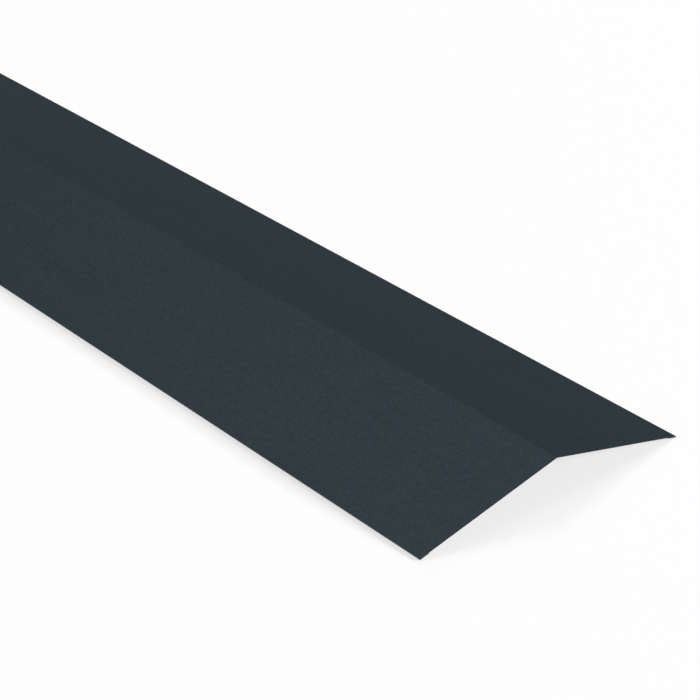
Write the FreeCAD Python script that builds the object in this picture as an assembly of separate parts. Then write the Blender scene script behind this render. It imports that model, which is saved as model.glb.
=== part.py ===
"""Roof ridge cap: one long sheet of painted steel, folded along its middle into two flat wings.

Each long edge is turned under and pressed nearly flat as a hem, so that no raw edge faces the
weather and the wing stays straight. The sheet is folded on a press brake, so its section is
flats joined by bends of a constant thickness, and both ends are plain square cuts.

Millimetres. The cap lies along X with its middle at x = 0. The ridge is above the X axis, the
wings fall away to -Y and +Y, and the cap stands on its two hems on the plane z = 0.
"""
import FreeCAD
import Part
import math
import os

# Driving dimensions
LENGTH = 2100.0             # stock length, from end cut to end cut
WING = 195.0                # down the slope, from the sharp corner of the ridge to the hem's outside
RIDGE_ANGLE = 153.0         # degrees between the wings, for a roof that falls 24 in 100
SHEET = 0.63                # thickness of the painted coil
RIDGE_INSIDE_RADIUS = 1.2   # inside the ridge, as the nose of the bending tool leaves it
HEM = 13.0                  # up the slope, from the hem's outside to the cut edge folded under
HEM_GAP = 0.3               # left between the hem and its wing after pressing

# Sizes of the bends
WING_FALL = (180.0 - RIDGE_ANGLE) / 2
HEM_INSIDE_RADIUS = HEM_GAP / 2
HEM_RADIUS = HEM_INSIDE_RADIUS + SHEET
RIDGE_RADIUS = RIDGE_INSIDE_RADIUS + SHEET
RIDGE_TURN = 180.0 - RIDGE_ANGLE
HEM_TURN = 180.0

# Flat stretches of the sheet, from one bend to the next
RIDGE_SETBACK = RIDGE_RADIUS * math.tan(math.radians(WING_FALL))
WING_FLAT = WING - RIDGE_SETBACK - HEM_RADIUS
HEM_FLAT = HEM - HEM_RADIUS


def direction(angle):
    """Unit vector in the plane of the section, at an angle in degrees above +Y."""
    turn = math.radians(angle)
    return FreeCAD.Vector(0, math.cos(turn), math.sin(turn))


def folded_sheet(start, heading, flats, bends):
    """Section of a sheet that runs through its flats and turns right at the bend after each.

    The walk follows the painted face, with the sheet's thickness on its right. A bend is a turn
    in degrees and an inside radius. The result is a face whose two short edges are the cut
    edges of the sheet.
    """
    painted = []
    back = []
    point = start
    for flat, bend in zip(flats, bends + [None]):
        inwards = direction(heading - 90)
        end = point + direction(heading) * flat
        painted.append(Part.LineSegment(point, end).toShape())
        back.append(Part.LineSegment(point + inwards * SHEET, end + inwards * SHEET).toShape())
        point = end
        if bend is None:
            break
        turn, inside_radius = bend
        outside_radius = inside_radius + SHEET
        centre = point + inwards * outside_radius
        spokes = [direction(heading + 90 - turn * share) for share in (0.0, 0.5, 1.0)]
        painted.append(Part.Arc(*[centre + spoke * outside_radius for spoke in spokes]).toShape())
        back.append(Part.Arc(*[centre + spoke * inside_radius for spoke in spokes]).toShape())
        point = centre + spokes[-1] * outside_radius
        heading -= turn
    first_cut = Part.LineSegment(back[0].firstVertex().Point, start).toShape()
    last_cut = Part.LineSegment(point, point + direction(heading - 90) * SHEET).toShape()
    return Part.Face(Part.Wire(painted + [last_cut] + back[::-1] + [first_cut]))


def hem_centre():
    """Centre of the fold of the -Y hem, which touches the plane z = 0 from above."""
    fall = math.radians(WING_FALL)
    ridge_height = HEM_RADIUS + (WING - HEM_RADIUS) * math.sin(fall) + HEM_RADIUS * math.cos(fall)
    ridge = FreeCAD.Vector(0, 0, ridge_height)
    down_the_wing = direction(WING_FALL + 180)
    into_the_sheet = direction(WING_FALL - 90)
    return ridge + down_the_wing * (WING - HEM_RADIUS) + into_the_sheet * HEM_RADIUS


def ridge_cap():
    """The whole cap: its folded section, from the cut edge of one hem to that of the other."""
    under_the_hem = direction(WING_FALL - 90)
    up_the_wing = direction(WING_FALL)
    start = hem_centre() + under_the_hem * HEM_RADIUS + up_the_wing * HEM_FLAT
    flats = [HEM_FLAT, WING_FLAT, WING_FLAT, HEM_FLAT]
    hem = (HEM_TURN, HEM_INSIDE_RADIUS)
    ridge = (RIDGE_TURN, RIDGE_INSIDE_RADIUS)
    section = folded_sheet(start, WING_FALL + 180, flats, [hem, ridge, hem])
    section.translate(FreeCAD.Vector(-LENGTH / 2, 0, 0))
    return section.extrude(FreeCAD.Vector(LENGTH, 0, 0))


def flat_width():
    """Width of the flat sheet before folding, along the middle of its thickness."""
    bends = 2 * math.radians(HEM_TURN) * (HEM_INSIDE_RADIUS + SHEET / 2)
    bends += math.radians(RIDGE_TURN) * (RIDGE_INSIDE_RADIUS + SHEET / 2)
    return 2 * (HEM_FLAT + WING_FLAT) + bends


os.makedirs("parts", exist_ok=True)
cap = ridge_cap()
cap.exportStep("parts/ridge_cap_sheet.step")
box = cap.BoundBox
print(f"cap {box.XLength:.1f} x {box.YLength:.2f} x {box.ZLength:.2f}, flat width {flat_width():.1f}")
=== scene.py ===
"""Looks of a roof ridge cap: a folded sheet of anthracite coil-coated steel on a pale studio floor."""
import math

import bmesh
import bpy
from mathutils import Matrix, Vector


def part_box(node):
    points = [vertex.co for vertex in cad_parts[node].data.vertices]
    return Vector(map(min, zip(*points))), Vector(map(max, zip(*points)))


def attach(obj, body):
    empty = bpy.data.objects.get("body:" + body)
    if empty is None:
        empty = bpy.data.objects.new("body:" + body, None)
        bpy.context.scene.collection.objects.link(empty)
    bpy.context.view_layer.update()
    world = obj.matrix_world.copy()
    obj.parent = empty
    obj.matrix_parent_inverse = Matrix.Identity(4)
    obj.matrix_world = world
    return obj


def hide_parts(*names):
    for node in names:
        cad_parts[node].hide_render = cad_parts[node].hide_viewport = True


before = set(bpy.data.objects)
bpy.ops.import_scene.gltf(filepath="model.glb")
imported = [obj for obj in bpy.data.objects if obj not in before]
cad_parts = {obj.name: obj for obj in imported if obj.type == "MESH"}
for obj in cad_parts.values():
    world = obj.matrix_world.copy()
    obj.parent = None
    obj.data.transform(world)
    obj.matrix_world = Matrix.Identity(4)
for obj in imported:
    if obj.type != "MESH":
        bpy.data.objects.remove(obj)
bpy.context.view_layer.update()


# Folded sheet
# One strip of galvanised steel, coated in the coil: anthracite outside, light grey inside. A
# press brake folds it along the middle and presses both long edges under as hems. Both ends
# are sheared square, and the cut shows the steel, dark with the paint that the blade dragged.

CAD_LOW, CAD_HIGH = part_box("ridge_cap_sheet")
WING = 0.195
RIDGE_ANGLE = math.radians(153.0)
SHEET = 0.00063
RIDGE_INSIDE_RADIUS = 0.0012
HEM = 0.013
HEM_GAP = 0.0003
STEPS_PER_HALF_TURN = 32
FEWEST_STEPS = 8
FLATS_WEIGHT = 100
BACK_SLOT = 1
CUT_SLOT = 2

PAINT_DARK = (0.0201, 0.0327, 0.0409)
PAINT_LIGHT = (0.0401, 0.0527, 0.0609)
PAINT_ROUGHNESS = 0.7
PAINT_SPECULAR = 0.005
PAINT_TONES = {"Grain": 1.15, "Mottle": 0.15, "Roller Lines": 0.25}
PAINT_RELIEF = 0.00004
BACK_DARK = (0.33, 0.34, 0.33)
BACK_LIGHT = (0.40, 0.41, 0.40)
BACK_ROUGHNESS = 0.6
BACK_SPECULAR = 0.4
BACK_TONES = {"Grain": 0.5, "Mottle": 0.6, "Roller Lines": 0.8}
BACK_RELIEF = 0.00002
GRAIN_SCALE = 250.0
GRAIN_DETAIL = 2.0
MOTTLE_SCALE = 9.0
MOTTLE_DETAIL = 3.0
ROLLER_SCALE = 160.0
ROLLER_DETAIL = 2.0
ROLLER_STRETCH = (0.012, 1, 1)
ROLLER_RELIEF_SHARE = 0.3
MIDDLE_TONE = 0.5
ROUGHNESS_RANGE = 0.05
SHEAR_DARK = (0.03, 0.04, 0.05, 1)
SHEAR_LIGHT = (0.07, 0.08, 0.09, 1)
SHEAR_SMOOTHEST = 0.35
SHEAR_ROUGHEST = 0.6
SHEAR_MARK_SCALE = 3000.0

RIDGE_TURN = math.pi - RIDGE_ANGLE
WING_FALL = RIDGE_TURN / 2
HEM_RADIUS = HEM_GAP / 2 + SHEET
RIDGE_RADIUS = RIDGE_INSIDE_RADIUS + SHEET
HEM_FLAT = HEM - HEM_RADIUS
WING_FLAT = WING - RIDGE_RADIUS * math.tan(WING_FALL) - HEM_RADIUS


def direction(angle):
    """Unit vector in the plane of the section, at an angle above +Y."""
    return Vector((0, math.cos(angle), math.sin(angle)))


def lay_flat(sheet, tip, heading, length):
    """Carry the free vertex of the section straight on, and return the new free vertex."""
    drawn = bmesh.ops.extrude_vert_indiv(sheet, verts=[tip])["verts"]
    bmesh.ops.translate(sheet, verts=drawn, vec=direction(heading) * length)
    return drawn[0]


def press_bend(sheet, tip, heading, turn, radius):
    """Turn the free vertex of the section right, round a bend of the painted face's radius."""
    centre = tip.co + direction(heading - math.pi / 2) * radius
    steps = max(math.ceil(STEPS_PER_HALF_TURN * turn / math.pi), FEWEST_STEPS)
    bent = bmesh.ops.spin(sheet, geom=[tip], cent=centre, axis=(1, 0, 0), angle=-turn, steps=steps)
    return next(part for part in bent["geom_last"] if isinstance(part, bmesh.types.BMVert))


def folded_sheet():
    """The painted face of the whole sheet, walked from the cut edge of one hem to the other's."""
    sheet = bmesh.new()
    fold = Vector((0, -CAD_HIGH.y + HEM_RADIUS, HEM_RADIUS))
    start = fold + direction(WING_FALL - math.pi / 2) * HEM_RADIUS + direction(WING_FALL) * HEM_FLAT
    start.x = CAD_LOW.x
    tip = bmesh.ops.create_vert(sheet, co=start)["vert"][0]
    heading = WING_FALL + math.pi
    hem = (math.pi, HEM_RADIUS)
    ridge = (RIDGE_TURN, RIDGE_RADIUS)
    for length, bend in ((HEM_FLAT, hem), (WING_FLAT, ridge), (WING_FLAT, hem), (HEM_FLAT, None)):
        tip = lay_flat(sheet, tip, heading, length)
        if bend:
            turn, radius = bend
            tip = press_bend(sheet, tip, heading, turn, radius)
            heading -= turn
    drawn = bmesh.ops.extrude_edge_only(sheet, edges=sheet.edges[:])["geom"]
    far_end = [part for part in drawn if isinstance(part, bmesh.types.BMVert)]
    bmesh.ops.translate(sheet, verts=far_end, vec=(CAD_HIGH.x - CAD_LOW.x, 0, 0))
    for edge in sheet.edges:
        edge.smooth = not edge.is_boundary
    for face in sheet.faces:
        face.smooth = True
    mesh = bpy.data.meshes.new("folded_sheet")
    sheet.to_mesh(mesh)
    sheet.free()
    return mesh


def coil_coating():
    """Shader group for a roller-coated face: fine grain, slow mottling and faint roller lines."""
    group = bpy.data.node_groups.new("coil_coating", "ShaderNodeTree")
    for name in ("Grain", "Mottle", "Roller Lines"):
        group.interface.new_socket(name, in_out="INPUT", socket_type="NodeSocketFloat")
    for name in ("Tone", "Height"):
        group.interface.new_socket(name, in_out="OUTPUT", socket_type="NodeSocketFloat")
    nodes, links = group.nodes, group.links
    given = nodes.new("NodeGroupInput")
    made = nodes.new("NodeGroupOutput")
    place = nodes.new("ShaderNodeTexCoord")

    def noise(scale, detail, stretch=(1, 1, 1)):
        stretched = nodes.new("ShaderNodeMapping")
        stretched.inputs["Scale"].default_value = stretch
        links.new(place.outputs["Object"], stretched.inputs["Vector"])
        texture = nodes.new("ShaderNodeTexNoise")
        texture.inputs["Scale"].default_value = scale
        texture.inputs["Detail"].default_value = detail
        links.new(stretched.outputs["Vector"], texture.inputs["Vector"])
        centred = nodes.new("ShaderNodeMath")
        centred.operation = "SUBTRACT"
        links.new(texture.outputs["Fac"], centred.inputs[0])
        centred.inputs[1].default_value = MIDDLE_TONE
        return centred.outputs[0]

    def combine(operation, first, second):
        node = nodes.new("ShaderNodeMath")
        node.operation = operation
        for socket, value in zip(node.inputs, (first, second)):
            if isinstance(value, float):
                socket.default_value = value
            else:
                links.new(value, socket)
        return node.outputs[0]

    grain = noise(GRAIN_SCALE, GRAIN_DETAIL)
    mottle = noise(MOTTLE_SCALE, MOTTLE_DETAIL)
    lines = noise(ROLLER_SCALE, ROLLER_DETAIL, ROLLER_STRETCH)
    tone = combine("MULTIPLY", grain, given.outputs["Grain"])
    tone = combine("ADD", tone, combine("MULTIPLY", mottle, given.outputs["Mottle"]))
    tone = combine("ADD", tone, combine("MULTIPLY", lines, given.outputs["Roller Lines"]))
    links.new(combine("ADD", tone, MIDDLE_TONE), made.inputs["Tone"])
    raised_lines = combine("MULTIPLY", lines, ROLLER_RELIEF_SHARE)
    links.new(combine("ADD", raised_lines, grain), made.inputs["Height"])
    return group


def coated_steel(name, dark, light, roughness, specular, amounts, relief):
    """Material of one coated face, between two colours that its coating's tone mixes."""
    material = bpy.data.materials.new(name)
    material.use_nodes = True
    nodes, links = material.node_tree.nodes, material.node_tree.links
    paint = nodes["Principled BSDF"]
    paint.inputs["Specular IOR Level"].default_value = specular
    coating = nodes.new("ShaderNodeGroup")
    coating.node_tree = bpy.data.node_groups.get("coil_coating") or coil_coating()
    for socket, amount in amounts.items():
        coating.inputs[socket].default_value = amount
    colour = nodes.new("ShaderNodeMix")
    colour.data_type = "RGBA"
    colour.inputs["A"].default_value = (*dark, 1)
    colour.inputs["B"].default_value = (*light, 1)
    links.new(coating.outputs["Tone"], colour.inputs["Factor"])
    links.new(colour.outputs["Result"], paint.inputs["Base Color"])
    gloss = nodes.new("ShaderNodeMapRange")
    gloss.inputs["To Min"].default_value = roughness - ROUGHNESS_RANGE
    gloss.inputs["To Max"].default_value = roughness + ROUGHNESS_RANGE
    links.new(coating.outputs["Tone"], gloss.inputs["Value"])
    links.new(gloss.outputs["Result"], paint.inputs["Roughness"])
    bump = nodes.new("ShaderNodeBump")
    bump.inputs["Strength"].default_value = 1.0
    bump.inputs["Distance"].default_value = relief
    links.new(coating.outputs["Height"], bump.inputs["Height"])
    links.new(bump.outputs["Normal"], paint.inputs["Normal"])
    return material


def sheared_steel():
    """Edge of the sheet where the coil was cut across: dark with dragged paint and shear marks."""
    material = bpy.data.materials.new("sheared_steel")
    material.use_nodes = True
    nodes, links = material.node_tree.nodes, material.node_tree.links
    steel = nodes["Principled BSDF"]
    steel.inputs["Metallic"].default_value = 1.0
    place = nodes.new("ShaderNodeTexCoord")
    marks = nodes.new("ShaderNodeTexNoise")
    marks.inputs["Scale"].default_value = SHEAR_MARK_SCALE
    links.new(place.outputs["Object"], marks.inputs["Vector"])
    colour = nodes.new("ShaderNodeMix")
    colour.data_type = "RGBA"
    colour.inputs["A"].default_value = SHEAR_DARK
    colour.inputs["B"].default_value = SHEAR_LIGHT
    links.new(marks.outputs["Fac"], colour.inputs["Factor"])
    links.new(colour.outputs["Result"], steel.inputs["Base Color"])
    gloss = nodes.new("ShaderNodeMapRange")
    gloss.inputs["To Min"].default_value = SHEAR_SMOOTHEST
    gloss.inputs["To Max"].default_value = SHEAR_ROUGHEST
    links.new(marks.outputs["Fac"], gloss.inputs["Value"])
    links.new(gloss.outputs["Result"], steel.inputs["Roughness"])
    return material


cap = bpy.data.objects.new("folded_sheet", folded_sheet())
bpy.context.scene.collection.objects.link(cap)
thickness = cap.modifiers.new("sheet_thickness", "SOLIDIFY")
thickness.thickness = SHEET
thickness.offset = -1
thickness.use_even_offset = True
thickness.material_offset = BACK_SLOT
thickness.material_offset_rim = CUT_SLOT
shading = cap.modifiers.new("flat_wings_shade_flat", "WEIGHTED_NORMAL")
shading.keep_sharp = True
shading.weight = FLATS_WEIGHT
cap.data.materials.append(coated_steel(
    "anthracite_paint", PAINT_DARK, PAINT_LIGHT, PAINT_ROUGHNESS, PAINT_SPECULAR,
    PAINT_TONES, PAINT_RELIEF))
cap.data.materials.append(coated_steel(
    "grey_back_coat", BACK_DARK, BACK_LIGHT, BACK_ROUGHNESS, BACK_SPECULAR,
    BACK_TONES, BACK_RELIEF))
cap.data.materials.append(sheared_steel())
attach(cap, "root")
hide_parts("ridge_cap_sheet")


# Studio
# A wide pale floor under a soft sky, both white to the camera. A broad lamp behind on the left
# throws the cap's shadow forwards, and two long low ones shade the floor along its near edge. A
# strip behind and a lamp in front light the cap alone, the second mostly its near wing.

FLOOR_SIZE = 240.0
FLOOR_COLOUR = 0.29
FLOOR_GLOW = 0.61
CAMERA_PLACE = Vector((2.34421, -1.42880, 1.21843))
CAMERA_AZIMUTH = math.radians(48.6172)
CAMERA_ELEVATION = math.radians(28.756)
CAMERA_ROLL = math.radians(1.4142)
CAMERA_LENS = 111.758
HORIZON_LEVEL = 0.0
ZENITH_LEVEL = 0.33
KEY_LEVEL = 0.3
KEY_FROM = Vector((-0.585, 0.573, 0.574))
KEY_SPREAD = math.radians(20)
LOW_RIGHT_POWER = 860000.0
LOW_RIGHT_PLACE = Vector((90.0, 100.0, 23.35))
LOW_RIGHT_LENGTH = 60.0
LOW_LEFT_POWER = 68000.0
LOW_LEFT_PLACE = Vector((-10.0, 100.0, 23.35))
LOW_LEFT_LENGTH = 20.0
LOW_HEIGHT = 3.2
STRIP_POWER = 3.0
STRIP_PLACE = Vector((0.4, 0.6, 0.5))
STRIP_LENGTH = 3.0
STRIP_HEIGHT = 0.05
FILL_POWER = 2650.0
FILL_COLOUR = (1.01, 0.95, 0.93)
FILL_PLACE = Vector((5.4, -4.5, 1.35))
FILL_RADIUS = 1.0


def looked_at(tree):
    """Mask that is 1 to the camera, to reflections and through clear pieces, 0 to lighting."""
    path = tree.nodes.new("ShaderNodeLightPath")
    seen = path.outputs["Is Camera Ray"]
    for name in ("Is Glossy Ray", "Is Transmission Ray"):
        either = tree.nodes.new("ShaderNodeMath")
        either.operation = "MAXIMUM"
        tree.links.new(seen, either.inputs[0])
        tree.links.new(path.outputs[name], either.inputs[1])
        seen = either.outputs["Value"]
    return seen


floor_mesh = bpy.data.meshes.new("studio_floor")
floor_shape = bmesh.new()
bmesh.ops.create_grid(floor_shape, x_segments=1, y_segments=1, size=FLOOR_SIZE / 2)
floor_shape.to_mesh(floor_mesh)
floor_shape.free()
floor = bpy.data.objects.new("studio_floor", floor_mesh)
bpy.context.scene.collection.objects.link(floor)
floor_material = bpy.data.materials.new("pale_floor")
floor_material.use_nodes = True
floor_paint = floor_material.node_tree.nodes["Principled BSDF"]
floor_paint.inputs["Base Color"].default_value = (FLOOR_COLOUR, FLOOR_COLOUR, FLOOR_COLOUR, 1)
floor_paint.inputs["Roughness"].default_value = 1.0
floor_paint.inputs["Specular IOR Level"].default_value = 0.0
floor_paint.inputs["Emission Color"].default_value = (1, 1, 1, 1)
glow = floor_material.node_tree.nodes.new("ShaderNodeMath")
glow.operation = "MULTIPLY"
glow.inputs[1].default_value = FLOOR_GLOW
floor_links = floor_material.node_tree.links
floor_links.new(looked_at(floor_material.node_tree), glow.inputs[0])
floor_links.new(glow.outputs["Value"], floor_paint.inputs["Emission Strength"])
floor_mesh.materials.append(floor_material)

sky = bpy.data.worlds.new("soft_sky")
sky.use_nodes = True
sky_nodes, sky_links = sky.node_tree.nodes, sky.node_tree.links
sky_place = sky_nodes.new("ShaderNodeTexCoord")
sky_height = sky_nodes.new("ShaderNodeSeparateXYZ")
sky_links.new(sky_place.outputs["Generated"], sky_height.inputs["Vector"])
sky_fade = sky_nodes.new("ShaderNodeMapRange")
sky_links.new(sky_height.outputs["Z"], sky_fade.inputs["Value"])
sky_fade.inputs["To Min"].default_value = HORIZON_LEVEL
sky_fade.inputs["To Max"].default_value = ZENITH_LEVEL
sky_shown = sky_nodes.new("ShaderNodeMath")
sky_shown.operation = "MAXIMUM"
sky_links.new(sky_fade.outputs["Result"], sky_shown.inputs[0])
sky_links.new(looked_at(sky.node_tree), sky_shown.inputs[1])
sky_nodes["Background"].inputs["Color"].default_value = (1, 1, 1, 1)
sky_links.new(sky_shown.outputs["Value"], sky_nodes["Background"].inputs["Strength"])
bpy.context.scene.world = sky


def add_lamp(source):
    """Place a lamp that neither the camera nor a glossy face sees."""
    placed = bpy.data.objects.new(source.name, source)
    placed.visible_glossy = False
    placed.visible_camera = False
    bpy.context.scene.collection.objects.link(placed)
    return placed


def distant_lamp(name, level, came_from, spread):
    """Broad far lamp that gives a level floor so much light, where 1 shows white as white."""
    source = bpy.data.lights.new(name, "SUN")
    source.energy = level * math.pi / came_from.normalized().z
    source.angle = spread
    placed = add_lamp(source)
    placed.rotation_euler = came_from.to_track_quat("Z", "Y").to_euler()


def long_lamp(name, power, place, length, height):
    """Rectangular lamp that runs along X and is tipped down to face the cap's middle line."""
    source = bpy.data.lights.new(name, "AREA")
    source.shape = "RECTANGLE"
    source.size = length
    source.size_y = height
    source.energy = power
    placed = add_lamp(source)
    placed.location = place
    placed.rotation_euler = (math.atan2(place.z, place.y) - math.pi / 2, 0, 0)
    return placed


def light_only(lamp, piece):
    """Keep a lamp's light on one piece."""
    lit = bpy.data.collections.new("lit_by_" + lamp.name)
    lit.objects.link(piece)
    lamp.light_linking.receiver_collection = lit


distant_lamp("key_lamp", KEY_LEVEL, KEY_FROM, KEY_SPREAD)
low_right = long_lamp(
    "low_right_lamp", LOW_RIGHT_POWER, LOW_RIGHT_PLACE, LOW_RIGHT_LENGTH, LOW_HEIGHT)
light_only(low_right, floor)
low_left = long_lamp("low_left_lamp", LOW_LEFT_POWER, LOW_LEFT_PLACE, LOW_LEFT_LENGTH, LOW_HEIGHT)
light_only(low_left, floor)
strip = long_lamp("back_strip", STRIP_POWER, STRIP_PLACE, STRIP_LENGTH, STRIP_HEIGHT)
light_only(strip, cap)
fill_source = bpy.data.lights.new("front_fill", "POINT")
fill_source.energy = FILL_POWER
fill_source.color = FILL_COLOUR
fill_source.shadow_soft_size = FILL_RADIUS
fill = add_lamp(fill_source)
fill.location = FILL_PLACE
light_only(fill, cap)

camera_lens = bpy.data.cameras.new("camera")
camera_lens.lens = CAMERA_LENS
camera = bpy.data.objects.new("camera", camera_lens)
camera.location = CAMERA_PLACE
turned = Matrix.Rotation(CAMERA_AZIMUTH, 3, "Z")
lowered = Matrix.Rotation(math.pi / 2 - CAMERA_ELEVATION, 3, "X")
rolled = Matrix.Rotation(CAMERA_ROLL, 3, "Z")
camera.rotation_euler = (turned @ lowered @ rolled).to_euler()
bpy.context.scene.collection.objects.link(camera)
bpy.context.scene.camera = camera
bpy.context.scene.view_settings.view_transform = "Standard"
